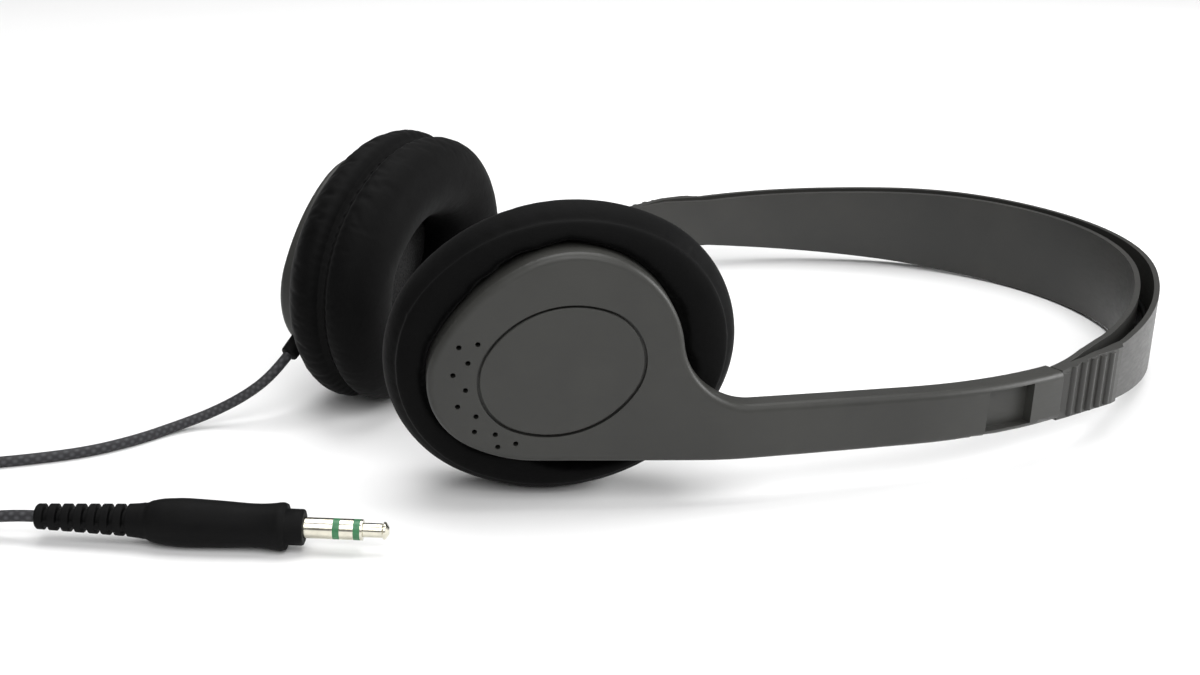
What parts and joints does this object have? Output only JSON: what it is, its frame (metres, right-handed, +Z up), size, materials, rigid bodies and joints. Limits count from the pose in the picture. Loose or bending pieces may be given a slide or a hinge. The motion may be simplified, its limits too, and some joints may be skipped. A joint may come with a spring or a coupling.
{
  "type": "wired office headset",
  "caption": "Light on-ear wired stereo headset with a two-strip headband, sliding ear-cup arms, leatherette ring cushions and a 3.5 mm plug.",
  "frame": {"origin": "middle of the underside of the headset as it lies on its side, measured without its free cord", "axes": "+Z up; +X from the ear cups towards the crown of the headband; +Y from the right ear cup to the left, which has the cord"},
  "size_m": [0.3064, 0.1414, 0.0533],
  "materials": {
    "shell_plastic": "warm dark grey injection moulded plastic, very fine satin texture, moulded-in colour",
    "band_plastic": "warm dark grey flexible plastic strip, smooth satin",
    "cushion_leatherette": "black leatherette, soft, fine grain, low sheen",
    "speaker_foam": "black open-cell acoustic foam",
    "cord_jacket": "charcoal cord jacket with a fine diagonal texture, matt",
    "moulded_rubber": "black moulded flexible plastic, matt",
    "plug_metal": "nickel plated, polished, slightly warm",
    "plug_insulator": "green insulating ring",
    "wire_sleeve": "black insulated wire",
    "fastener_steel": "zinc plated steel",
    "frame_plastic": "black moulded plastic",
    "magnet_steel": "plated magnet cup",
    "coil_copper": "enamelled copper winding",
    "diaphragm_film": "thin translucent film",
    "circuit_board": "green solder mask"
  },
  "bodies": {
    "headband": {"outer_band": "band_plastic", "inner_band": "band_plastic", "bridge_wire": "wire_sleeve", "band_rivets": "fastener_steel"},
    "left_arm": {"left_shell": "shell_plastic", "left_cap": "shell_plastic", "left_baffle": "frame_plastic", "left_foam_disc": "speaker_foam", "left_screws": "fastener_steel", "left_driver_frame": "frame_plastic", "left_magnet": "magnet_steel", "left_voice_coil": "coil_copper", "left_diaphragm": "diaphragm_film", "left_terminal_board": "circuit_board", "left_cushion": "cushion_leatherette", "cord_grommet": "moulded_rubber", "cup_lead": "cord_jacket", "lead_coil": "cord_jacket", "plug_lead": "cord_jacket", "plug_handle": "moulded_rubber", "plug_sleeve": "plug_metal", "plug_ring": "plug_metal", "plug_tip": "plug_metal", "plug_insulators": "plug_insulator"},
    "right_arm": {"right_shell": "shell_plastic", "right_cap": "shell_plastic", "right_baffle": "frame_plastic", "right_foam_disc": "speaker_foam", "right_screws": "fastener_steel", "right_driver_frame": "frame_plastic", "right_magnet": "magnet_steel", "right_voice_coil": "coil_copper", "right_diaphragm": "diaphragm_film", "right_terminal_board": "circuit_board", "right_cushion": "cushion_leatherette"}
  },
  "joints": [
    {"name": "left_arm_slide", "type": "slide", "parent": "headband", "child": "left_arm", "axis": [-0.9904, -0.1366, 0.0207], "range_m": [0, 0.022]},
    {"name": "right_arm_slide", "type": "slide", "parent": "headband", "child": "right_arm", "axis": [-0.9904, 0.1366, 0.0207], "range_m": [0, 0.022]}
  ]
}
